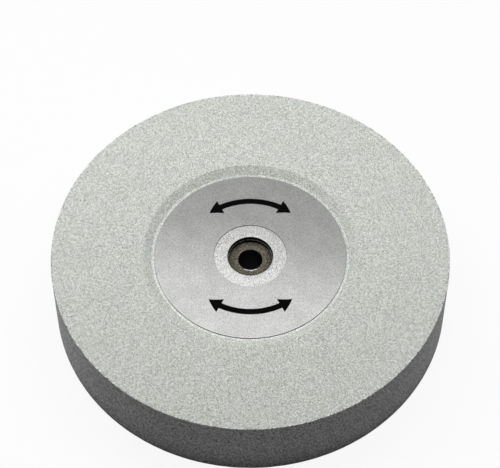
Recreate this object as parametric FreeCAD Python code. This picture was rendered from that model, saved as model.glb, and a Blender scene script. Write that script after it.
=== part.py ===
import FreeCAD, Part

import math
import os

# A fine-grit grinding wheel for a wet sharpener, lying flat as it is stored.
# The stone is dished on both sides. A bush is set in its middle with a dark
# setting compound, and a silver paper label is glued into each dish.
# Millimetres, +Z up along the wheel's axis, origin on the lower face's centre.

# Driving dimensions
WHEEL_DIAMETER = 200.0
WHEEL_WIDTH = 40.0
BORE_DIAMETER = 12.0

# Dish in each side of the stone: a flat floor with a cone up to the lip
DISH_LIP_DIAMETER = 108.0
DISH_FLOOR_DIAMETER = 99.5
DISH_DEPTH = 2.7

# Edges of the stone
RIM_ROUNDING = 0.35
LIP_ROUNDING = 0.4
FLOOR_FILLET = 0.6
HOLE_ROUNDING = 0.2

# Moulded hole that the bush is set in
STONE_HOLE_DIAMETER = 23.0

# Bush: a turned sleeve, shorter than the stone is wide
BUSH_DIAMETER = 21.6
BUSH_BELOW_FLOOR = 3.4
BORE_BEVEL_WIDTH = 0.5
BORE_BEVEL_DEPTH = 0.2
BUSH_RIM_CHAMFER = 0.2
KEY_GROOVE_DEPTH = 0.8
KEY_GROOVE_WIDTH = 3.0
KEY_GROOVE_FROM_MIDDLE = 7.0

# Setting compound: a sleeve round the bush that ends in a ledge above it, and a film up the hole's wall
FILM_THICKNESS = 0.3
FILM_BELOW_FLOOR = 0.2
LEDGE_ABOVE_BUSH = 1.6

# Paper label in each dish
LABEL_DIAMETER = 96.5
LABEL_HOLE_DIAMETER = 36.7
LABEL_THICKNESS = 0.4

# Heights and radii that follow from those
MIDDLE = WHEEL_WIDTH / 2
FLOOR = WHEEL_WIDTH - DISH_DEPTH
BUSH_TOP = FLOOR - BUSH_BELOW_FLOOR
BUSH_RADIUS = BUSH_DIAMETER / 2
BORE_RADIUS = BORE_DIAMETER / 2
STONE_HOLE_RADIUS = STONE_HOLE_DIAMETER / 2

AXIS_POINT = FreeCAD.Vector(0, 0, 0)
AXIS = FreeCAD.Vector(0, 0, 1)


def both_ends(upper):
    """The corners of a closed half section: those of its upper half, then their mirror images below."""
    lower = [(radius, WHEEL_WIDTH - height, rounding) for radius, height, rounding in reversed(upper)]
    return upper + lower


def corner_arc(before, corner, after, rounding):
    """First, middle and last point of the arc that rounds a corner between two straight sides."""
    to_before = (before - corner).normalize()
    to_after = (after - corner).normalize()
    half_angle = to_before.getAngle(to_after) / 2
    tangent_length = rounding / math.tan(half_angle)
    middle_distance = rounding / math.sin(half_angle) - rounding
    bisector = (to_before + to_after).normalize()
    return (
        corner + to_before * tangent_length,
        corner + bisector * middle_distance,
        corner + to_after * tangent_length,
    )


def half_section(corners):
    """A closed face in the XZ plane from corners of radius, height and rounding."""
    points = [FreeCAD.Vector(radius, 0, height) for radius, height, _ in corners]
    arcs = []
    for index, (_, _, rounding) in enumerate(corners):
        corner = points[index]
        if rounding:
            after = points[(index + 1) % len(points)]
            arcs.append(corner_arc(points[index - 1], corner, after, rounding))
        else:
            arcs.append((corner, corner, corner))
    edges = []
    for index, (first, middle, last) in enumerate(arcs):
        edges.append(Part.LineSegment(arcs[index - 1][2], first).toShape())
        if first != last:
            edges.append(Part.Arc(first, middle, last).toShape())
    return Part.Face(Part.Wire(edges))


def turned(corners):
    """A solid of revolution about the wheel's axis."""
    return half_section(corners).revolve(AXIS_POINT, AXIS, 360)


def grindstone():
    """The abrasive body: a thick disc, dished on both sides, with a plain hole through its middle."""
    return turned(both_ends([
        (STONE_HOLE_RADIUS, FLOOR, HOLE_ROUNDING),
        (DISH_FLOOR_DIAMETER / 2, FLOOR, FLOOR_FILLET),
        (DISH_LIP_DIAMETER / 2, WHEEL_WIDTH, LIP_ROUNDING),
        (WHEEL_DIAMETER / 2, WHEEL_WIDTH, RIM_ROUNDING),
    ]))


def arbor_bush():
    """The sleeve that slides on the machine's shaft, with two grooves that key it into the compound."""
    groove_top = MIDDLE + KEY_GROOVE_FROM_MIDDLE + KEY_GROOVE_WIDTH / 2
    groove_bottom = groove_top - KEY_GROOVE_WIDTH
    groove_radius = BUSH_RADIUS - KEY_GROOVE_DEPTH
    return turned(both_ends([
        (BORE_RADIUS, BUSH_TOP - BORE_BEVEL_DEPTH, 0),
        (BORE_RADIUS + BORE_BEVEL_WIDTH, BUSH_TOP, 0),
        (BUSH_RADIUS - BUSH_RIM_CHAMFER, BUSH_TOP, 0),
        (BUSH_RADIUS, BUSH_TOP - BUSH_RIM_CHAMFER, 0),
        (BUSH_RADIUS, groove_top, 0),
        (groove_radius, groove_top - KEY_GROOVE_DEPTH, 0),
        (groove_radius, groove_bottom + KEY_GROOVE_DEPTH, 0),
        (BUSH_RADIUS, groove_bottom, 0),
    ]))


def setting_compound(bush):
    """What fills the room between bush and stone, with a ledge at each end and a film up the hole."""
    film_radius = STONE_HOLE_RADIUS - FILM_THICKNESS
    ledge = BUSH_TOP + LEDGE_ABOVE_BUSH
    sleeve_top = BUSH_TOP - BUSH_RIM_CHAMFER
    filled_in_to = BUSH_RADIUS - KEY_GROOVE_DEPTH
    sleeve = turned(both_ends([
        (filled_in_to, sleeve_top, 0),
        (BUSH_RADIUS, sleeve_top, 0),
        (BUSH_RADIUS, ledge, 0),
        (film_radius, ledge, 0),
        (film_radius, FLOOR - FILM_BELOW_FLOOR, 0),
        (STONE_HOLE_RADIUS, FLOOR - FILM_BELOW_FLOOR, 0),
    ]))
    return sleeve.cut(bush)


def paper_label(underside):
    """A flat paper ring, glued by its underside to a dish's floor."""
    disc = Part.makeCylinder(LABEL_DIAMETER / 2, LABEL_THICKNESS)
    hole = Part.makeCylinder(LABEL_HOLE_DIAMETER / 2, LABEL_THICKNESS)
    return disc.cut(hole).translated(AXIS * underside)


def main():
    """Builds every sub-part and writes each to its own file."""
    bush = arbor_bush()
    parts = {
        "grindstone": grindstone(),
        "arbor_bush": bush,
        "setting_compound": setting_compound(bush),
        "front_label": paper_label(FLOOR),
        "back_label": paper_label(DISH_DEPTH - LABEL_THICKNESS),
    }
    os.makedirs("parts", exist_ok=True)
    for name, shape in parts.items():
        shape.exportStep(f"parts/{name}.step")
        print(f"{name}: {len(shape.Solids)} solid, valid {shape.isValid()}, {shape.Volume / 1000:.2f} cm3")


main()
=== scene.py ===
"""The dressed grinding wheel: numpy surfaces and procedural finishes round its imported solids.

Lengths are in metres.
"""

import logging
import math
from dataclasses import dataclass
from enum import Enum
from typing import Any

import bpy
import numpy as np
from mathutils import Matrix, Vector


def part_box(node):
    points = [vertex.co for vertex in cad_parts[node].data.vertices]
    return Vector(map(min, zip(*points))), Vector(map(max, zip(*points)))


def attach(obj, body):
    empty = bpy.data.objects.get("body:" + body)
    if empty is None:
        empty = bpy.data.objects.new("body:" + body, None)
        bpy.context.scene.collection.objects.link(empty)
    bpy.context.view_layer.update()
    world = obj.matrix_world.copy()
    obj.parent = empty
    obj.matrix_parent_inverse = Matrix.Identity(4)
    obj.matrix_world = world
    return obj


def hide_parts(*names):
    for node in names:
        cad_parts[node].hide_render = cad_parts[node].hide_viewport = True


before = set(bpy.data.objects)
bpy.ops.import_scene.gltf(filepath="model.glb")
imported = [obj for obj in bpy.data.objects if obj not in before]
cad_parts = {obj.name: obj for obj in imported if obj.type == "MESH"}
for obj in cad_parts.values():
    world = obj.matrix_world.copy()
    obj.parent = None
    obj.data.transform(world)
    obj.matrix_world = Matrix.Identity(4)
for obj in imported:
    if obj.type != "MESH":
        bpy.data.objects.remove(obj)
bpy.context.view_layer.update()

MM = 0.001
BODY = "root"
LOG = logging.getLogger("grinding_wheel")

Colour = tuple[float, float, float, float]
Span = tuple[float, float]
Socket = bpy.types.NodeSocket
Sockets = bpy.types.bpy_prop_collection
Feed = Socket | float | Colour | None

NOISE_MIDDLE = 0.5
# A Mix node's inputs for other data, which come between its factor and its colours.
MIX_SKIPPED = (None,) * 5
MIX_COLOUR_RESULT = 2


class Side(Enum):
    """The two sides of the wheel, each with the direction that its dish opens in."""

    FRONT = 1
    BACK = -1


class Nodes(Enum):
    """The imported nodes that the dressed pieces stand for."""

    STONE = "grindstone"
    BUSH = "arbor_bush"
    COMPOUND = "setting_compound"
    FRONT_LABEL = "front_label"
    BACK_LABEL = "back_label"


class Slots(Enum):
    """The record's material slots."""

    STONE = "abrasive"
    BUSH = "bush"
    COMPOUND = "compound"
    LABEL = "label"


def grey(level: float) -> Colour:
    """A neutral colour."""
    return (level, level, level, 1.0)


def unit(vectors: np.ndarray) -> np.ndarray:
    """Scales each row of an array to length one."""
    return vectors / np.linalg.norm(vectors, axis=-1, keepdims=True)


def node_radii(node: Nodes) -> Span:
    """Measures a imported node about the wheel's axis.

    Args:
        node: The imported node.

    Returns:
        Its smallest and largest radius.
    """
    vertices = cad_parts[node.value].data.vertices
    points = np.empty(len(vertices) * 3)
    vertices.foreach_get("co", points)
    radii = np.hypot(points[0::3], points[1::3])
    return float(radii.min()), float(radii.max())


def node_heights(node: Nodes) -> Span:
    """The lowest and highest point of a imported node."""
    low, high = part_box(node.value)
    return low.z, high.z


@dataclass(frozen=True)
class Corner:
    """A half section's corner: where its two sides would meet, and the radius of its rounding."""

    radius: float
    height: float
    rounding: float


@dataclass(frozen=True)
class HalfSection:
    """A closed outline of radius and height, listed outwards along its top."""

    corners: tuple[Corner, ...]
    longest_step: float
    arc_steps: int = 6

    def points(self) -> np.ndarray:
        """Lays points along the outline.

        A corner becomes an arc: the spherical blend sin((1 - s) w) a + sin(s w) b, over sin w, of
        the directions a and b from the arc's centre to its ends, which are the angle w apart.

        Returns:
            Rows of radius and height, in order, with no repeated end.
        """
        tips = np.array([(corner.radius, corner.height) for corner in self.corners])
        rounding = np.array([corner.rounding for corner in self.corners])[:, None]
        to_before = unit(np.roll(tips, 1, axis=0) - tips)
        to_after = unit(np.roll(tips, -1, axis=0) - tips)
        half_angle = np.arccos(np.sum(to_before * to_after, axis=1, keepdims=True)) / 2
        centres = tips + unit(to_before + to_after) * rounding / np.sin(half_angle)
        setback = rounding / np.tan(half_angle)
        first = (tips + to_before * setback - centres)[:, None]
        last = (tips + to_after * setback - centres)[:, None]
        sweep = (math.pi - 2 * half_angle)[:, None]
        share = np.linspace(0, 1, self.arc_steps + 1)[None, :, None]
        blend = np.sin((1 - share) * sweep) * first + np.sin(share * sweep) * last
        arcs = centres[:, None] + blend / np.sin(sweep)
        stretches = []
        for arc, following in zip(arcs, np.roll(arcs, -1, axis=0)):
            stretches += [arc, self.side(arc[-1], following[0])]
        return np.concatenate(stretches)

    def side(self, start: np.ndarray, end: np.ndarray) -> np.ndarray:
        """Lays points between two arcs.

        They lie at (1 - cos(pi t)) / 2 of the length, so that they crowd towards the arcs. The
        longest step, in the middle, is pi / 2 of the mean one.

        Args:
            start: The end of the first arc.
            end: The start of the second.

        Returns:
            Rows of radius and height, without the two ends.
        """
        steps = math.ceil(np.linalg.norm(end - start) * math.pi / 2 / self.longest_step)
        share = (1 - np.cos(math.pi * np.arange(1, steps) / steps)) / 2
        return start + share[:, None] * (end - start)


def mirrored(upper: list[Corner], middle: float) -> tuple[Corner, ...]:
    """Completes a half section with the mirror image of its upper corners below a middle height."""
    lower = [Corner(c.radius, 2 * middle - c.height, c.rounding) for c in reversed(upper)]
    return tuple(upper + lower)


def carried_round(
    section: np.ndarray, turns: int, relief: np.ndarray | float = 0.0
) -> np.ndarray:
    """Carries a half section round the axis.

    A point is x = r cos a, y = r sin a, z = h, where the section's radius r and height h are first
    moved by the relief along the section's own normal, its tangent turned a quarter turn outwards.

    Args:
        section: Rows of radius and height.
        turns: How many angles a the circle has.
        relief: Height above the smooth surface, for each row and angle.

    Returns:
        A grid of points: rows, angles, coordinates.
    """
    tangent = unit(np.roll(section, -1, axis=0) - np.roll(section, 1, axis=0))
    angles = np.linspace(0, 2 * math.pi, turns, endpoint=False)
    radius = section[:, :1] - tangent[:, 1:] * relief
    height = section[:, 1:] + tangent[:, :1] * relief
    grid = (radius * np.cos(angles), radius * np.sin(angles), height * np.ones(turns))
    return np.stack(grid, axis=-1)


class LatticeNoise:
    """Smooth repeatable noise: random values on a repeating cubic lattice, blended between."""

    def __init__(self, seed: int, size: int = 64) -> None:
        """Draws the lattice, of so many cells along each edge, from a fixed seed."""
        self.size = size
        self.values = np.random.default_rng(seed).uniform(0, 1, (size, size, size))

    def at(self, points: np.ndarray, cell: float) -> np.ndarray:
        """Reads the noise.

        Along each axis the two nearest lattice values are blended by 3 t^2 - 2 t^3 of the
        distance t.

        Args:
            points: Coordinates along the last axis.
            cell: The size of a lattice cell.

        Returns:
            A value from 0 to 1 for each point.
        """
        scaled = points / cell
        base = np.floor(scaled).astype(int)
        share = scaled - base
        share = share * share * (3 - 2 * share)
        total = np.zeros(points.shape[:-1])
        for corner in np.ndindex(2, 2, 2):
            weight = np.prod(np.where(corner, share, 1 - share), axis=-1)
            place = (base + corner) % self.size
            total += weight * self.values[place[..., 0], place[..., 1], place[..., 2]]
        return total


def grid_mesh(name: str, grid: np.ndarray, closed: bool = True) -> bpy.types.Object:
    """Makes a smooth-shaded object from a grid of points.

    Args:
        name: The object's name.
        grid: Points by row, column and coordinate. A row's direction crossed with a column's
            points outwards.
        closed: Whether both the rows and the columns join up end to end.

    Returns:
        The object, at the origin, linked to the scene.
    """
    rows, columns = grid.shape[:2]
    index = np.arange(rows * columns).reshape(rows, columns)
    across = np.roll(index, -1, axis=1)
    ring = (index, np.roll(index, -1, axis=0), np.roll(across, -1, axis=0), across)
    quads = np.stack(ring, axis=-1)
    if not closed:
        quads = quads[:-1, :-1]
    quads = quads.reshape(-1, len(ring))
    mesh = bpy.data.meshes.new(name)
    mesh.vertices.add(rows * columns)
    mesh.vertices.foreach_set("co", grid.astype(np.float32).ravel())
    mesh.loops.add(quads.size)
    mesh.loops.foreach_set("vertex_index", quads.astype(np.int32).ravel())
    mesh.polygons.add(len(quads))
    starts = np.arange(0, quads.size, len(ring), dtype=np.int32)
    mesh.polygons.foreach_set("loop_start", starts)
    mesh.update(calc_edges=True)
    mesh.shade_smooth()
    piece = bpy.data.objects.new(name, mesh)
    bpy.context.scene.collection.objects.link(piece)
    return piece


def blank_material(name: str) -> bpy.types.Material:
    """Makes a material that has no nodes yet.

    Args:
        name: The material's name.

    Returns:
        The material.
    """
    material = bpy.data.materials.new(name)
    material.use_nodes = True
    material.node_tree.nodes.clear()
    return material


def dressed(
    piece: bpy.types.Object, material: bpy.types.Material, node: Nodes
) -> None:
    """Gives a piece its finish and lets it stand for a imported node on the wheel's one body.

    Args:
        piece: The finished object.
        material: Its finish.
        node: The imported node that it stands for.
    """
    piece.data.materials.append(material)
    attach(piece, BODY)
    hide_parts(node.value)
    LOG.info("%s: %d faces, for node %s", piece.name, len(piece.data.polygons), node.value)


class NodeSheet:
    """Adds nodes to one shader tree and links them."""

    def __init__(self, tree: bpy.types.NodeTree) -> None:
        """Keeps the tree that the nodes go into."""
        self.tree = tree

    def add(self, kind: str, *values: Feed, **settings: Any) -> bpy.types.Node:
        """Adds a node.

        Args:
            kind: The node's type, without its ShaderNode prefix.
            values: For each input in turn, a socket to link, a plain value, or None to leave it.
            settings: The node's properties.

        Returns:
            The new node.
        """
        node = self.tree.nodes.new("ShaderNode" + kind)
        for name, value in settings.items():
            setattr(node, name, value)
        for socket, value in zip(node.inputs, values):
            self.feed(socket, value)
        return node

    def feed(self, socket: Socket, value: Feed) -> None:
        """Links a socket to another, or sets its plain value.

        Args:
            socket: The input to feed.
            value: A socket to link, a plain value, or None to leave the input.
        """
        if isinstance(value, Socket):
            self.tree.links.new(value, socket)
        elif value is not None:
            socket.default_value = value

    def math(self, operation: str, *values: Feed) -> Socket:
        """The result of a Math node."""
        return self.add("Math", *values, operation=operation).outputs[0]

    def times(self, first: Feed, second: Feed) -> Socket:
        """The product of two values."""
        return self.math("MULTIPLY", first, second)

    def below(self, value: Feed, limit: Feed) -> Socket:
        """A mask that is 1 where a value is under a limit, and 0 elsewhere."""
        return self.math("LESS_THAN", value, limit)

    def above(self, value: Feed, limit: Feed) -> Socket:
        """A mask that is 1 where a value is over a limit, and 0 elsewhere."""
        return self.math("GREATER_THAN", value, limit)

    def outside(self, mask: Feed) -> Socket:
        """The reverse of a mask."""
        return self.math("SUBTRACT", 1.0, mask)

    def remap(self, value: Feed, *ends: Feed, kind: str = "LINEAR") -> Socket:
        """Maps a value from one range, low then high, to another, and clamps it there."""
        return self.add("MapRange", value, *ends, interpolation_type=kind).outputs[0]

    def rise(self, value: Feed, low: float, high: float) -> Socket:
        """Maps a range to 0 to 1."""
        return self.remap(value, low, high, 0.0, 1.0)

    def pick(self, mask: Feed, off: Feed, on: Feed) -> Socket:
        """One value where a mask is 0, and another where it is 1."""
        return self.remap(mask, 0.0, 1.0, off, on)

    def mix(self, factor: Feed, first: Feed, second: Feed, blend: str = "MIX") -> Socket:
        """Mixes two colours by a factor."""
        values = (factor, *MIX_SKIPPED, first, second)
        return self.add("Mix", *values, data_type="RGBA", blend_type=blend).outputs[MIX_COLOUR_RESULT]

    def noise(self, vector: Socket, feature: float, detail: float) -> Socket:
        """Soft noise whose features have about a given size, in the vector's own unit."""
        return self.add("TexNoise", vector, None, 1 / feature, detail).outputs[0]

    def bump(self, strength: float, distance: float, height: Socket) -> Socket:
        """The normal of a surface raised by a height, whose full range is a distance."""
        return self.add("Bump", strength, distance, None, height).outputs[0]


class Effect:
    """A shader node group with named sockets, built once and shared by the finishes."""

    name: str
    inputs: dict[str, str]
    outputs: tuple[str, ...]

    def on(self, sheet: NodeSheet, *values: Feed) -> Sockets:
        """Places the effect on a sheet, feeds its inputs in order, and returns its outputs."""
        return sheet.add("Group", *values, node_tree=self.tree()).outputs

    def tree(self) -> bpy.types.NodeTree:
        """The group's tree, built the first time it is asked for."""
        found = bpy.data.node_groups.get(self.name)
        return found if found else self.build()

    def build(self) -> bpy.types.NodeTree:
        """Makes the group's sockets and fills it.

        Returns:
            The group's tree.
        """
        tree = bpy.data.node_groups.new(self.name, "ShaderNodeTree")
        for name, kind in self.inputs.items():
            tree.interface.new_socket(name, in_out="INPUT", socket_type=kind)
        for name in self.outputs:
            tree.interface.new_socket(name, in_out="OUTPUT", socket_type="NodeSocketFloat")
        sheet = NodeSheet(tree)
        entry = tree.nodes.new("NodeGroupInput")
        results = self.fill(sheet, entry.outputs)
        exit_node = tree.nodes.new("NodeGroupOutput")
        for socket, value in zip(exit_node.inputs, results):
            sheet.feed(socket, value)
        return tree

    def fill(self, sheet: NodeSheet, entry: Sockets) -> tuple[Socket, ...]:
        """Adds the effect's nodes and returns the sockets of its outputs, in order."""
        raise NotImplementedError


class AxisPolar(Effect):
    """Distance from the wheel's axis, and the angle away from the line through it along Y."""

    name = "axis_polar"
    inputs = {"Vector": "NodeSocketVector"}
    outputs = ("Radius", "Turn")

    def fill(self, sheet: NodeSheet, entry: Sockets) -> tuple[Socket, ...]:
        """Radius is the root of x squared plus y squared; turn is the arc tangent of |x| over |y|.

        Args:
            sheet: Where the nodes go.
            entry: The group's inputs.

        Returns:
            The radius and the turn.
        """
        place = sheet.add("SeparateXYZ", entry["Vector"]).outputs
        across = sheet.math("ABSOLUTE", place["X"])
        along = sheet.math("ABSOLUTE", place["Y"])
        squares = sheet.math("MULTIPLY_ADD", across, across, sheet.times(along, along))
        return sheet.math("SQRT", squares), sheet.math("ARCTAN2", across, along)


class BondedGrain(Effect):
    """Packed grains of one size: each one's own tone, the open pores between, and their height."""

    name = "bonded_grain"
    inputs = {"Vector": "NodeSocketVector", "Size": "NodeSocketFloat"}
    outputs = ("Tone", "Pores", "Height")
    clump_grains: float = 2.5
    clump_detail: float = 2.0
    clump_share: float = 0.1
    tone_power: float = 0.7
    tone_mean: float = 0.588
    pore_scale: float = 0.55
    pore_rarity: float = 0.84
    pore_heart: Span = (0.15, 0.5)
    tone_lift: float = 0.5

    def fill(self, sheet: NodeSheet, entry: Sockets) -> tuple[Socket, ...]:
        """Gives each cell a tone and a dome, and opens the hearts of a few larger cells as pores.

        Tone is a power of a random value per cell, less its mean, plus a little clump noise.

        Args:
            sheet: Where the nodes go.
            entry: The group's inputs.

        Returns:
            The tone, the pores and the height.
        """
        per_size = sheet.math("DIVIDE", 1.0, entry["Size"])
        in_grains = sheet.add("VectorMath", entry["Vector"], None, None, per_size, operation="SCALE")
        scaled = in_grains.outputs[0]
        cells = sheet.add("TexVoronoi", scaled, None, 1.0).outputs
        chance = sheet.add("SeparateColor", cells["Color"]).outputs["Red"]
        clumps = sheet.noise(scaled, self.clump_grains, self.clump_detail)
        spread = sheet.math("SUBTRACT", sheet.math("POWER", chance, self.tone_power), self.tone_mean)
        clumped = sheet.math("SUBTRACT", clumps, NOISE_MIDDLE)
        tone = sheet.math("MULTIPLY_ADD", clumped, self.clump_share, spread)
        holes = sheet.add("TexVoronoi", scaled, None, self.pore_scale).outputs
        draw = sheet.add("SeparateColor", holes["Color"]).outputs["Green"]
        chosen = sheet.above(draw, self.pore_rarity)
        heart = sheet.remap(holes["Distance"], *self.pore_heart, 1.0, 0.0, kind="SMOOTHSTEP")
        pores = sheet.times(heart, chosen)
        domes = sheet.math("SUBTRACT", 1.0, cells["Distance"])
        lifted = sheet.math("MULTIPLY_ADD", spread, self.tone_lift, domes)
        return tone, pores, sheet.math("SUBTRACT", lifted, pores)


class SettledDust(Effect):
    """Fine pale dust of the stone, thickest in soft patches on what faces up."""

    name = "settled_dust"
    inputs = {"Vector": "NodeSocketVector", "Amount": "NodeSocketFloat"}
    outputs = ("Mask",)
    patch_size: float = 4 * MM
    patch_detail: float = 3.0
    patch_range: Span = (0.35, 0.7)
    thinnest: float = 0.2
    speck_size: float = 0.4 * MM
    speck_detail: float = 2.0
    speck_range: Span = (0.4, 0.75)

    def fill(self, sheet: NodeSheet, entry: Sockets) -> tuple[Socket, ...]:
        """Multiplies patch noise, speck noise, how level the surface is, and the amount.

        Args:
            sheet: Where the nodes go.
            entry: The group's inputs.

        Returns:
            The dust's mask.
        """
        patch_noise = sheet.noise(entry["Vector"], self.patch_size, self.patch_detail)
        patches = sheet.remap(patch_noise, *self.patch_range, self.thinnest, 1.0)
        speck_noise = sheet.noise(entry["Vector"], self.speck_size, self.speck_detail)
        specks = sheet.rise(speck_noise, *self.speck_range)
        normal = sheet.add("NewGeometry").outputs["Normal"]
        level = sheet.math("ABSOLUTE", sheet.add("SeparateXYZ", normal).outputs["Z"])
        cover = sheet.times(sheet.times(patches, specks), level)
        return (sheet.times(cover, entry["Amount"]),)


class Finish:
    """A procedural material on Object coordinates."""

    name: str

    def material(self) -> bpy.types.Material:
        """Builds the finish's material.

        Returns:
            A material with one Principled shader, fed by the finish's own nodes.
        """
        material = blank_material(self.name)
        sheet = NodeSheet(material.node_tree)
        shader = sheet.add("BsdfPrincipled")
        place = sheet.add("TexCoord").outputs["Object"]
        for socket, value in self.surface(sheet, place).items():
            sheet.feed(shader.inputs[socket], value)
        sheet.add("OutputMaterial", shader.outputs[0])
        return material

    def surface(self, sheet: NodeSheet, place: Socket) -> dict[str, Feed]:
        """Adds the finish's nodes and returns what feeds each named input of the shader."""
        raise NotImplementedError


@dataclass(frozen=True)
class AbrasiveFinish(Finish):
    """Pale bonded abrasive: fine grains and open pores.

    It is smooth in the dish, sealed at the hub and greyer on the rim.
    """

    name: str = "pale_bonded_abrasive"
    warm: Colour = (0.602, 0.622, 0.573, 1.0)
    cool: Colour = (0.598, 0.616, 0.589, 1.0)
    sealed: Colour = (0.565, 0.567, 0.556, 1.0)
    trued: Colour = (0.615, 0.615, 0.612, 1.0)
    pore: Colour = (0.12, 0.125, 0.11, 1.0)
    grain_size: float = 0.22 * MM
    rim_grain_size: float = 0.31 * MM
    contrast: float = 1.5
    rim_contrast: float = 2.9
    floor_contrast: float = 1.45
    lightest: float = 1.6
    pore_strength: float = 0.8
    cloud_size: float = 14 * MM
    cloud_detail: float = 1.0
    cloud_range: Span = (0.38, 0.62)
    hub_edge: float = 19 * MM
    floor_edge: float = 49.9 * MM
    rim_edge: float = 99.3 * MM
    face_roughness: float = 0.9
    floor_roughness: float = 0.15
    size_cover: float = 0.7
    size_roughness: float = 0.14
    bump: float = 0.35
    floor_bump: float = 0.03
    rim_bump: float = 0.4
    grain_height: float = 0.12 * MM

    def surface(self, sheet: NodeSheet, place: Socket) -> dict[str, Feed]:
        """Multiplies a clouded colour by each grain's tone, darkens the pores and bumps the grains.

        The radius tells the hub, the dish's floor and the rim from the faces. The floor is moulded
        smooth, and the hub, which is part of it, is sealed with a coat of size.

        Args:
            sheet: Where the nodes go.
            place: Object coordinates.

        Returns:
            What feeds each named input of the shader.
        """
        radius = AxisPolar().on(sheet, place)["Radius"]
        in_hub = sheet.below(radius, self.hub_edge)
        on_floor = sheet.below(radius, self.floor_edge)
        on_rim = sheet.above(radius, self.rim_edge)
        size = sheet.pick(on_rim, self.grain_size, self.rim_grain_size)
        tone, pores, height = BondedGrain().on(sheet, place, size)
        cloud_noise = sheet.noise(place, self.cloud_size, self.cloud_detail)
        clouded = sheet.mix(sheet.rise(cloud_noise, *self.cloud_range), self.warm, self.cool)
        bonded = sheet.mix(on_rim, sheet.mix(in_hub, clouded, self.sealed), self.trued)
        off_rim = sheet.pick(on_floor, self.contrast, self.floor_contrast)
        rim_extra = self.rim_contrast - self.contrast
        contrast = sheet.math("MULTIPLY_ADD", on_rim, rim_extra, off_rim)
        varied = sheet.times(tone, contrast)
        shade = sheet.remap(varied, -1.0, self.lightest - 1, 0.0, self.lightest)
        grained = sheet.mix(1.0, bonded, shade, blend="MULTIPLY")
        off_floor = sheet.pick(on_rim, 1.0, self.rim_bump)
        relief = sheet.times(height, sheet.pick(on_floor, off_floor, self.floor_bump))
        return {
            "Base Color": sheet.mix(sheet.times(pores, self.pore_strength), grained, self.pore),
            "Roughness": sheet.pick(on_floor, self.face_roughness, self.floor_roughness),
            "Coat Weight": sheet.times(in_hub, self.size_cover),
            "Coat Roughness": self.size_roughness,
            "Normal": sheet.bump(self.bump, self.grain_height, relief),
        }


@dataclass(frozen=True)
class TurnedIronFinish(Finish):
    """Dark brown turned iron: fine tool rings, a mottled skin and a little stone dust.

    The skin is lighter towards the bore and darker towards its outer edge, and the bore's bevel
    carries a painted highlight on its -Y side.
    """

    name: str = "turned_dark_iron"
    dark: Colour = (0.022, 0.018, 0.012, 1.0)
    light: Colour = (0.160, 0.147, 0.112, 1.0)
    dust: Colour = (0.42, 0.42, 0.39, 1.0)
    # Painted highlight on the bore's bevel, on the -Y side only.
    painted_bevel_highlight: Colour = (0.72, 0.70, 0.665, 1.0)
    # Painted shade: the bore is coloured near black to stand in for the shade deep inside it.
    painted_bore_shade: Colour = grey(0.002)
    ring_pitch: float = 0.35 * MM
    mottle_size: float = 0.45 * MM
    mottle_detail: float = 4.0
    mottle_range: Span = (0.38, 0.62)
    dust_amount: float = 0.12
    skin_metallic: float = 0.15
    skin_roughness: float = 0.65
    highlight_metallic: float = 0.3
    highlight_roughness: float = 0.5
    specular: float = 0.05
    bump: float = 0.25
    ring_depth: float = 0.02 * MM
    bore_reach: float = 6.15 * MM
    highlight_reach: float = 6.6 * MM
    ragged: float = 0.3 * MM
    highlight_beyond: float = 5.6 * MM
    tone_from: float = 6.4 * MM
    tone_to: float = 10.6 * MM
    tone_at_bore: float = 1.5
    tone_at_edge: float = 0.7
    speckle_size: float = 0.3 * MM
    speckle: float = 1.1

    def surface(self, sheet: NodeSheet, place: Socket) -> dict[str, Feed]:
        """Picks the colour by mottle, varies it by specks and a radial tone, and lays dust on top.

        A sine of the radius cuts the rings. Short of one radius is the bore, coloured near black as
        painted shade. From there to a second, which the mottle makes ragged, the bevel on one side,
        beyond a distance along -Y, is painted light and more metallic as a highlight.

        Args:
            sheet: Where the nodes go.
            place: Object coordinates.

        Returns:
            What feeds each named input of the shader.
        """
        radius = AxisPolar().on(sheet, place)["Radius"]
        mottle_noise = sheet.noise(place, self.mottle_size, self.mottle_detail)
        mottle = sheet.rise(mottle_noise, *self.mottle_range)
        rings = sheet.math("SINE", sheet.times(radius, 2 * math.pi / self.ring_pitch))
        dust = SettledDust().on(sheet, place, self.dust_amount)["Mask"]
        tone = BondedGrain().on(sheet, place, self.speckle_size)["Tone"]
        # Lighter towards the bore and darker towards the outer edge of the bush.
        radial_tone = sheet.remap(radius, self.tone_from, self.tone_to, self.tone_at_bore, self.tone_at_edge)
        specks = sheet.times(sheet.math("MULTIPLY_ADD", tone, self.speckle, 1.0), radial_tone)
        mottled = sheet.mix(mottle, self.dark, self.light)
        skin = sheet.mix(dust, sheet.mix(1.0, mottled, specks, blend="MULTIPLY"), self.dust)
        in_bore = sheet.below(radius, self.bore_reach)
        past_bore = sheet.outside(in_bore)
        either_way = sheet.math("SUBTRACT", mottle, NOISE_MIDDLE)
        frayed = sheet.math("MULTIPLY_ADD", either_way, self.ragged, radius)
        # Painted highlight: a ragged band of the bevel on the -Y side is made light and more metallic
        # to stand in for the light it catches.
        inside = sheet.below(frayed, self.highlight_reach)
        along = sheet.add("SeparateXYZ", place).outputs["Y"]
        highlight_side = sheet.below(along, -self.highlight_beyond)
        painted_bevel_highlight = sheet.times(sheet.times(inside, highlight_side), past_bore)
        metal = sheet.pick(painted_bevel_highlight, self.skin_metallic, self.highlight_metallic)
        return {
            # The bore's near black is painted shade, not a colour of the iron.
            "Base Color": sheet.mix(in_bore, sheet.mix(painted_bevel_highlight, skin, self.painted_bevel_highlight), self.painted_bore_shade),
            "Metallic": sheet.times(metal, past_bore),
            "Roughness": sheet.pick(painted_bevel_highlight, self.skin_roughness, self.highlight_roughness),
            "Specular IOR Level": self.specular,
            "Normal": sheet.bump(self.bump, self.ring_depth, rings),
        }


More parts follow.
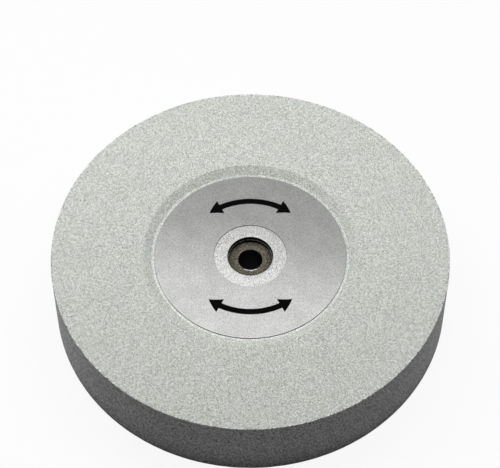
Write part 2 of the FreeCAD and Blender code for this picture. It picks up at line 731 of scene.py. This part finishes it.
@dataclass(frozen=True)
class CompoundFinish(Finish):
    """Nearly black cast compound: dull, slightly lumpy, dusted by the stone. Its black film up the
    hole's wall is partly painted shade.
    """

    name: str = "black_setting_compound"
    # Partly painted shade: this black also colours the film up the hole's wall.
    black: Colour = grey(0.004)
    brown: Colour = (0.014, 0.013, 0.011, 1.0)
    dust: Colour = (0.36, 0.33, 0.27, 1.0)
    lump_size: float = 0.9 * MM
    lump_detail: float = 3.0
    brown_range: Span = (0.4, 0.7)
    lump_range: Span = (0.3, 0.7)
    lump_roughness: Span = (0.75, 0.6)
    specular: float = 0.1
    dust_amount: float = 3.0
    dust_reach: float = 11.1 * MM
    bump: float = 0.5
    lump_height: float = 0.08 * MM

    def surface(self, sheet: NodeSheet, place: Socket) -> dict[str, Feed]:
        """Picks the colour and the bump by lump noise, and lays dust on the ledge, within a radius.

        Args:
            sheet: Where the nodes go.
            place: Object coordinates.

        Returns:
            What feeds each named input of the shader.
        """
        lumps = sheet.noise(place, self.lump_size, self.lump_detail)
        dust = SettledDust().on(sheet, place, self.dust_amount)["Mask"]
        radius = AxisPolar().on(sheet, place)["Radius"]
        settled = sheet.times(dust, sheet.below(radius, self.dust_reach))
        cast = sheet.mix(sheet.rise(lumps, *self.brown_range), self.black, self.brown)
        return {
            "Base Color": sheet.mix(settled, cast, self.dust),
            "Roughness": sheet.remap(lumps, *self.lump_range, *self.lump_roughness),
            "Specular IOR Level": self.specular,
            "Normal": sheet.bump(self.bump, self.lump_height, lumps),
        }


@dataclass(frozen=True)
class LabelFinish(Finish):
    """Satin silver-grey paper, with a plain black two-way turning arrow above and below the hub."""

    hole_edge: float
    outer_edge: float
    name: str = "satin_silver_paper"
    silver: Colour = (0.240, 0.240, 0.236, 1.0)
    pale: Colour = (0.540, 0.540, 0.533, 1.0)
    ink_and_edge_shade: Colour = grey(0.004)
    gloss_share: float = 0.24
    specular: float = 0.0
    fibre_size: float = 0.4 * MM
    cloud_size: float = 9 * MM
    noise_detail: float = 2.0
    cloud_share: float = 0.15
    mottle_range: Span = (0.3, 0.7)
    paper_roughness: float = 0.175
    ink_roughness: float = 0.6
    bump: float = 0.05
    fibre_height: float = 0.02 * MM
    arrow_radius: float = 33 * MM
    stroke: float = 3.2 * MM
    shaft_turn: float = math.radians(27)
    tip_turn: float = math.radians(39)
    barb: float = 4.2 * MM

    def surface(self, sheet: NodeSheet, place: Socket) -> dict[str, Feed]:
        """Makes fibrous, very faintly clouded paper, and duller ink in arrows and on cut edges, where
        the dark is partly painted shade.

        Args:
            sheet: Where the nodes go.
            place: Object coordinates.

        Returns:
            What feeds each named input of the shader.
        """
        fibres = sheet.noise(place, self.fibre_size, self.noise_detail)
        clouds = sheet.noise(place, self.cloud_size, self.noise_detail)
        either_way = sheet.math("SUBTRACT", clouds, NOISE_MIDDLE)
        mottle = sheet.math("MULTIPLY_ADD", either_way, self.cloud_share, fibres)
        paper = sheet.mix(sheet.rise(mottle, *self.mottle_range), self.silver, self.pale)
        # Partly painted shade: the cut edges take the ink's black, standing in for the shade along
        # the label's step.
        ink_and_edge_shade = sheet.math("MAXIMUM", self.arrows(sheet, place), self.cut_edges(sheet, place))
        return {
            "Base Color": sheet.mix(ink_and_edge_shade, paper, self.ink_and_edge_shade),
            "Metallic": sheet.pick(ink_and_edge_shade, self.gloss_share, 0.0),
            "Roughness": sheet.pick(ink_and_edge_shade, self.paper_roughness, self.ink_roughness),
            "Specular IOR Level": self.specular,
            "Normal": sheet.bump(self.bump, self.fibre_height, fibres),
        }

    def cut_edges(self, sheet: NodeSheet, place: Socket) -> Socket:
        """Masks the cut edges, whose ink is partly painted shade: what lies within the hole's edge or
        beyond the outer one.

        Args:
            sheet: Where the nodes go.
            place: Object coordinates.

        Returns:
            A socket that is 1 at the edges and 0 elsewhere.
        """
        radius = AxisPolar().on(sheet, place)["Radius"]
        at_hole = sheet.below(radius, self.hole_edge)
        return sheet.math("MAXIMUM", at_hole, sheet.above(radius, self.outer_edge))

    def arrows(self, sheet: NodeSheet, place: Socket) -> Socket:
        """Masks the arrows.

        A point is in a shaft if its radius is within half a stroke of the arrow's and its turn is
        short of the shaft's end. It is in a head if its radius is within the barb, narrowed evenly
        from the shaft to the tip.

        Args:
            sheet: Where the nodes go.
            place: Object coordinates.

        Returns:
            A socket that is 1 in the print and 0 elsewhere.
        """
        radius, turn = AxisPolar().on(sheet, place)
        off_line = sheet.math("ABSOLUTE", sheet.math("SUBTRACT", radius, self.arrow_radius))
        before_head = sheet.below(turn, self.shaft_turn)
        shaft = sheet.times(sheet.below(off_line, self.stroke / 2), before_head)
        narrowed = sheet.remap(turn, self.shaft_turn, self.tip_turn, self.barb, 0.0)
        head = sheet.times(sheet.below(off_line, narrowed), sheet.outside(before_head))
        return sheet.math("MAXIMUM", shaft, head)


@dataclass
class Grindstone:
    """The abrasive body: a thick disc dished on both sides, slightly uneven, with nibbled edges."""

    radius: float
    width: float
    hole_radius: float
    floor_height: float
    lip_radius: float = 54 * MM
    dish_radius: float = 49.75 * MM
    rim_rounding: float = 0.35 * MM
    lip_rounding: float = 0.4 * MM
    floor_fillet: float = 0.6 * MM
    hole_rounding: float = 0.2 * MM
    longest_step: float = 2.6 * MM
    turns: int = 440
    face_relief: float = 0.02 * MM
    face_cell: float = 5.0 * MM
    nibble_depth: float = 0.08 * MM
    nibble_cell: float = 1.8 * MM
    nibble_reach: float = 0.8 * MM
    seed: int = 7

    @classmethod
    def from_frame(cls) -> "Grindstone":
        """Takes the stone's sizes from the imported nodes.

        Returns:
            The stone, whose dish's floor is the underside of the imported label.
        """
        hole_radius, radius = node_radii(Nodes.STONE)
        label_bottom = node_heights(Nodes.FRONT_LABEL)[0]
        return cls(radius, node_heights(Nodes.STONE)[1], hole_radius, label_bottom)

    def corners(self) -> list[Corner]:
        """Lists the upper half of the section.

        Returns:
            Its corners, from the hole to the rim.
        """
        return [
            Corner(self.hole_radius, self.floor_height, self.hole_rounding),
            Corner(self.dish_radius, self.floor_height, self.floor_fillet),
            Corner(self.lip_radius, self.width, self.lip_rounding),
            Corner(self.radius, self.width, self.rim_rounding),
        ]

    def relief(self, section: np.ndarray, smooth: np.ndarray) -> np.ndarray:
        """Works out how far the surface falls short of the smooth one.

        Everywhere it is a slow noise. Near an edge a finer noise, squared and faded by the
        Gaussian of the distance to the edge, is taken off as well.

        Args:
            section: Rows of radius and height.
            smooth: The grid of points with no relief.

        Returns:
            Heights of zero or less, by row and angle.
        """
        noise = LatticeNoise(self.seed)
        edges = [corner for corner in self.corners() if corner.radius != self.dish_radius]
        points = np.array([(c.radius, h) for c in edges for h in (c.height, self.width - c.height)])
        distance = np.linalg.norm(section[:, None] - points[None], axis=-1).min(axis=1)
        near_edge = np.exp(-((distance / self.nibble_reach) ** 2))[:, None]
        nibbles = near_edge * noise.at(smooth, self.nibble_cell) ** 2
        return -self.face_relief * noise.at(smooth, self.face_cell) - self.nibble_depth * nibbles

    def build(self) -> bpy.types.Object:
        """Builds the stone's mesh.

        Returns:
            The stone's object.
        """
        corners = mirrored(self.corners(), self.width / 2)
        section = HalfSection(corners, self.longest_step).points()
        relief = self.relief(section, carried_round(section, self.turns))
        return grid_mesh("stone_body", carried_round(section, self.turns, relief))

    def dress(self) -> None:
        """Builds and finishes the stone."""
        dressed(self.build(), AbrasiveFinish().material(), Nodes.STONE)


@dataclass
class HubSetting:
    """The turned bush in the stone's hole, and the compound that holds it there, whose black film
    up the hole's wall is a dark sheet of painted shade.
    """

    bore_radius: float
    bush_radius: float
    bush_top: float
    hole_radius: float
    shade_film_top: float
    middle: float
    bevel_width: float = 0.5 * MM
    bevel_depth: float = 0.2 * MM
    bush_chamfer: float = 0.2 * MM
    key_depth: float = 0.8 * MM
    key_width: float = 3.0 * MM
    key_from_middle: float = 7.0 * MM
    shade_film: float = 0.3 * MM
    ledge: float = 1.6 * MM
    crisp: float = 0.05 * MM
    longest_step: float = 0.7 * MM
    arc_steps: int = 5
    turns: int = 192
    turned_relief: float = 0.01 * MM
    turned_cell: float = 0.8 * MM
    turned_seed: int = 11
    cast_relief: float = 0.05 * MM
    cast_cell: float = 1.1 * MM
    cast_seed: int = 13

    @classmethod
    def from_frame(cls) -> "HubSetting":
        """Takes the bush's and the compound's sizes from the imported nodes.

        Returns:
            The bush and the compound, mirrored about the middle of the stone.
        """
        bore_radius, bush_radius = node_radii(Nodes.BUSH)
        bush_top = node_heights(Nodes.BUSH)[1]
        shade_film_top = node_heights(Nodes.COMPOUND)[1]
        middle = sum(node_heights(Nodes.STONE)) / 2
        hole_radius = node_radii(Nodes.COMPOUND)[1]
        return cls(bore_radius, bush_radius, bush_top, hole_radius, shade_film_top, middle)

    def key_groove(self) -> list[Corner]:
        """Lists the upper keying groove in the bush's outside.

        Returns:
            Its corners, from its top to its bottom.
        """
        top = self.middle + self.key_from_middle + self.key_width / 2
        bottom = top - self.key_width
        inner = self.bush_radius - self.key_depth
        return [
            Corner(self.bush_radius, top, self.crisp),
            Corner(inner, top - self.key_depth, self.crisp),
            Corner(inner, bottom + self.key_depth, self.crisp),
            Corner(self.bush_radius, bottom, self.crisp),
        ]

    def bush_corners(self) -> list[Corner]:
        """Lists the upper half of the bush's section.

        Returns:
            Its corners, from the bore's mouth round to the keying groove.
        """
        return [
            Corner(self.bore_radius, self.bush_top - self.bevel_depth, self.crisp),
            Corner(self.bore_radius + self.bevel_width, self.bush_top, self.crisp),
            Corner(self.bush_radius - self.bush_chamfer, self.bush_top, self.crisp),
            Corner(self.bush_radius, self.bush_top - self.bush_chamfer, self.crisp),
            *self.key_groove(),
        ]

    def compound_corners(self) -> list[Corner]:
        """Lists the upper half of the compound's section.

        Returns:
            Its corners, from the keying groove up to the film's top.
        """
        ledge = self.bush_top + self.ledge
        shade_film_inside = self.hole_radius - self.shade_film
        return [
            *reversed(self.key_groove()),
            Corner(self.bush_radius, ledge, self.crisp),
            # Painted shade: the black film runs up the hole's wall, a dark sheet where the wall lies
            # in shade.
            Corner(shade_film_inside, ledge, self.crisp),
            Corner(shade_film_inside, self.shade_film_top, self.crisp),
            Corner(self.hole_radius, self.shade_film_top, self.crisp),
        ]

    def build(
        self, name: str, upper: list[Corner], relief: float, cell: float, seed: int
    ) -> bpy.types.Object:
        """Builds one of the two rings.

        Args:
            name: The piece's name.
            upper: The upper half of its section.
            relief: How far its surface may fall short of the smooth one.
            cell: The size of that unevenness.
            seed: Fixes the unevenness.

        Returns:
            The ring's object.
        """
        corners = mirrored(upper, self.middle)
        section = HalfSection(corners, self.longest_step, self.arc_steps).points()
        uneven = -relief * LatticeNoise(seed).at(carried_round(section, self.turns), cell)
        return grid_mesh(name, carried_round(section, self.turns, uneven))

    def dress(self) -> None:
        """Builds and finishes the bush and the compound."""
        turned = (self.turned_relief, self.turned_cell, self.turned_seed)
        bush = self.build("bush_sleeve", self.bush_corners(), *turned)
        dressed(bush, TurnedIronFinish().material(), Nodes.BUSH)
        cast = (self.cast_relief, self.cast_cell, self.cast_seed)
        ring = self.build("compound_ring", self.compound_corners(), *cast)
        dressed(ring, CompoundFinish().material(), Nodes.COMPOUND)


@dataclass
class PaperLabels:
    """The paper ring glued in each dish, very slightly cockled, with softly cut edges."""

    hole_radius: float
    radius: float
    edge_rounding: float = 0.08 * MM
    edge_line: float = 0.06 * MM
    longest_step: float = 1.2 * MM
    arc_steps: int = 3
    turns: int = 256
    cockle: float = 0.012 * MM
    cockle_cell: float = 11 * MM
    seed: int = 17

    @classmethod
    def from_frame(cls) -> "PaperLabels":
        """Takes the labels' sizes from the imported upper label."""
        return cls(*node_radii(Nodes.FRONT_LABEL))

    def build(self, name: str, node: Nodes, side: Side) -> bpy.types.Object:
        """Builds a label.

        The ring's section is a thin rectangle. The side that shows dips by a slow noise; the glued
        side is flat.

        Args:
            name: The piece's name.
            node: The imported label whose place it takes.
            side: Which way the label faces.

        Returns:
            The label's object.
        """
        low, high = node_heights(node)
        corners = (
            Corner(self.hole_radius, high, self.edge_rounding),
            Corner(self.radius, high, self.edge_rounding),
            Corner(self.radius, low, self.edge_rounding),
            Corner(self.hole_radius, low, self.edge_rounding),
        )
        section = HalfSection(corners, self.longest_step, self.arc_steps).points()
        grid = carried_round(section, self.turns)
        shown = (section[:, 1] - (low + high) / 2) * side.value > 0
        dip = self.cockle * LatticeNoise(self.seed).at(grid, self.cockle_cell) * shown[:, None]
        grid[..., 2] -= side.value * dip
        return grid_mesh(name, grid)

    def dress(self) -> None:
        """Builds and finishes both labels."""
        # The edge bands take the dark ink partly as painted shade along the label's step.
        edges = (self.hole_radius + self.edge_line, self.radius - self.edge_line)
        paper = LabelFinish(*edges).material()
        front = self.build("label_front", Nodes.FRONT_LABEL, Side.FRONT)
        dressed(front, paper, Nodes.FRONT_LABEL)
        back = self.build("label_back", Nodes.BACK_LABEL, Side.BACK)
        dressed(back, paper, Nodes.BACK_LABEL)


@dataclass
class Studio:
    """A pale sweep, a large soft lamp above and behind the wheel, even light, and the camera."""

    wheel_top: float
    flat_radius: float = 2.0
    sweep_rise: float = 0.45
    sweep_half_size: float = 5.0
    sweep_steps: int = 96
    floor_gap: float = 0.01 * MM
    floor_glow: float = 0.915
    floor_shade: float = 0.075
    floor_bounce: float = 0.48
    bounce_fade: Span = (0.15, 0.35)
    bounce_left: float = 0.35
    contact_shade: float = 20 * MM
    open_range: Span = (0.5, 0.85)
    ambient: float = 0.058
    lamp_place: tuple[float, float, float] = (-0.045, 0.163, 0.553)
    lamp_size: Span = (1.155, 0.301)
    lamp_length_axis: tuple[float, float, float] = (0.987, -0.107, 0.120)
    lamp_watts: float = 4.71
    focal_pixels: float = 2069.0
    image_width: float = 500.0
    sensor_width: float = 36.0
    elevation: float = math.radians(56.55)
    roll: float = math.radians(-0.191)
    distance: float = 1.044
    target_x: float = -0.11 * MM
    target_y: float = 11.44 * MM

    def sweep(self) -> None:
        """Builds the floor: level out to a radius, then rising with the square of the distance."""
        line = np.linspace(-self.sweep_half_size, self.sweep_half_size, self.sweep_steps)
        x, y = np.meshgrid(line, line, indexing="ij")
        beyond = np.maximum(np.hypot(x, y) - self.flat_radius, 0)
        grid = np.stack((x, y, self.sweep_rise * beyond**2 - self.floor_gap), axis=-1)
        floor = grid_mesh("floor_sweep", grid, closed=False)
        floor.data.materials.append(self.floor_material())

    def floor_material(self) -> bpy.types.Material:
        """Makes the floor white with a soft shadow where it is seen, and dim to other light, which
        it returns with painted shade under the wheel and a painted pool of light round it.

        Returns:
            The floor's material.
        """
        material = blank_material("pale_floor")
        sheet = NodeSheet(material.node_tree)
        path = sheet.add("LightPath").outputs
        mirrored_in = sheet.math("MAXIMUM", path["Is Glossy Ray"], path["Is Transmission Ray"])
        shown = sheet.math("MAXIMUM", path["Is Camera Ray"], mirrored_in)
        shaded = sheet.add("BsdfDiffuse", grey(self.floor_shade)).outputs[0]
        glow = sheet.add("Emission", grey(1.0), self.floor_glow).outputs[0]
        radius = AxisPolar().on(sheet, sheet.add("TexCoord").outputs["Object"])["Radius"]
        # Painted light: the bounce colour fades from a pool round the wheel, and the openness darkens
        # it as painted shade in the corner under the wheel.
        far_bounce = self.floor_bounce * self.bounce_left
        fade = sheet.remap(radius, *self.bounce_fade, self.floor_bounce, far_bounce)
        bounce = sheet.add("BsdfDiffuse", sheet.times(self.openness(sheet), fade)).outputs[0]
        white = sheet.add("AddShader", shaded, glow).outputs[0]
        sheet.add("OutputMaterial", sheet.add("MixShader", shown, bounce, white).outputs[0])
        return material

    def openness(self, sheet: NodeSheet) -> Socket:
        """How open the floor is, as painted contact shade: 0 in the corner under the wheel, 1 in the
        open.
        """
        occlusion = sheet.add("AmbientOcclusion", None, self.contact_shade)
        return sheet.rise(occlusion.outputs["AO"], *self.open_range)

    def lights(self) -> None:
        """Hangs the soft lamp, aimed at the wheel, and sets the even light."""
        data = bpy.data.lights.new("soft_lamp", "AREA")
        data.shape = "RECTANGLE"
        data.size, data.size_y = self.lamp_size
        data.energy = self.lamp_watts
        lamp = bpy.data.objects.new("soft_lamp", data)
        place = Vector(self.lamp_place)
        back = (place - Vector((0, 0, self.wheel_top))).normalized()
        along = Vector(self.lamp_length_axis)
        along = (along - along.dot(back) * back).normalized()
        facing = Matrix((along, back.cross(along), back)).transposed()
        lamp.matrix_world = Matrix.Translation(place) @ facing.to_4x4()
        lamp.visible_camera = False
        bpy.context.scene.collection.objects.link(lamp)
        world = bpy.data.worlds.new("even_light")
        world.use_nodes = True
        background = world.node_tree.nodes["Background"]
        background.inputs["Color"].default_value = grey(self.ambient)
        bpy.context.scene.world = world

    def camera(self) -> None:
        """Sets the camera, which looks along +Y and down as the photograph does, slightly rolled."""
        data = bpy.data.cameras.new("camera")
        data.sensor_fit = "HORIZONTAL"
        data.sensor_width = self.sensor_width
        data.lens = self.focal_pixels / self.image_width * self.sensor_width
        camera = bpy.data.objects.new("camera", data)
        forward = Vector((0, math.cos(self.elevation), -math.sin(self.elevation)))
        target = Vector((self.target_x, self.target_y, self.wheel_top))
        facing = forward.to_track_quat("-Z", "Y").to_matrix() @ Matrix.Rotation(self.roll, 3, "Z")
        camera.matrix_world = Matrix.Translation(target - forward * self.distance) @ facing.to_4x4()
        bpy.context.scene.collection.objects.link(camera)
        bpy.context.scene.camera = camera

    def set_up(self) -> None:
        """Builds the floor, the lights and the camera, and sets the plain view transform."""
        self.sweep()
        self.lights()
        self.camera()
        bpy.context.scene.view_settings.view_transform = "Standard"
        LOG.info("studio set up")


def main() -> None:
    """Builds the studio, then each sub-assembly."""
    logging.basicConfig(level=logging.INFO, format="%(name)s: %(message)s")
    Studio(node_heights(Nodes.STONE)[1]).set_up()
    Grindstone.from_frame().dress()
    HubSetting.from_frame().dress()
    PaperLabels.from_frame().dress()


if __name__ == "__main__":
    main()
